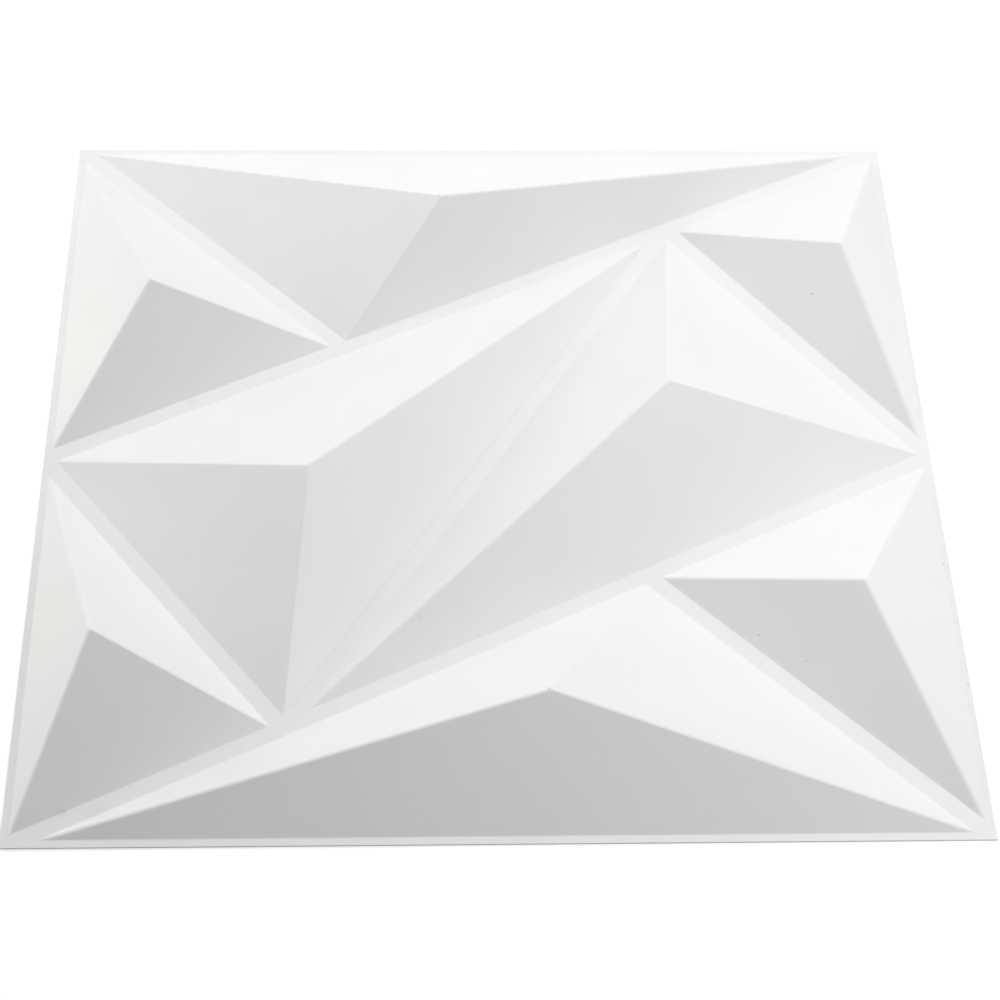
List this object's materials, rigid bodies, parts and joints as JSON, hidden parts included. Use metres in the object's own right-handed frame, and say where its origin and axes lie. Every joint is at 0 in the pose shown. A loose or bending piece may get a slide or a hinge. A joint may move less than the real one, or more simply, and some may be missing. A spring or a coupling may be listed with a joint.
{
  "type": "3-d wall panel tile",
  "caption": "Square thin-walled decorative wall panel, vacuum formed into shallow three-sided peaks that are hollow at the back, with flat strips between them.",
  "frame": {"origin": "middle of the square panel, on the back face of its flat strips, which lies on the floor or is glued to the wall", "axes": "+Z out of the wall, from the back towards the peaks; +X to the right and +Y up along the panel's sides, with the long strip rising to the right"},
  "size_m": [0.5, 0.5, 0.0322],
  "materials": {
    "white_pvc": "matt white with a very fine grain, paintable"
  },
  "bodies": {
    "root": {"wall_panel": "white_pvc"}
  },
  "joints": []
}
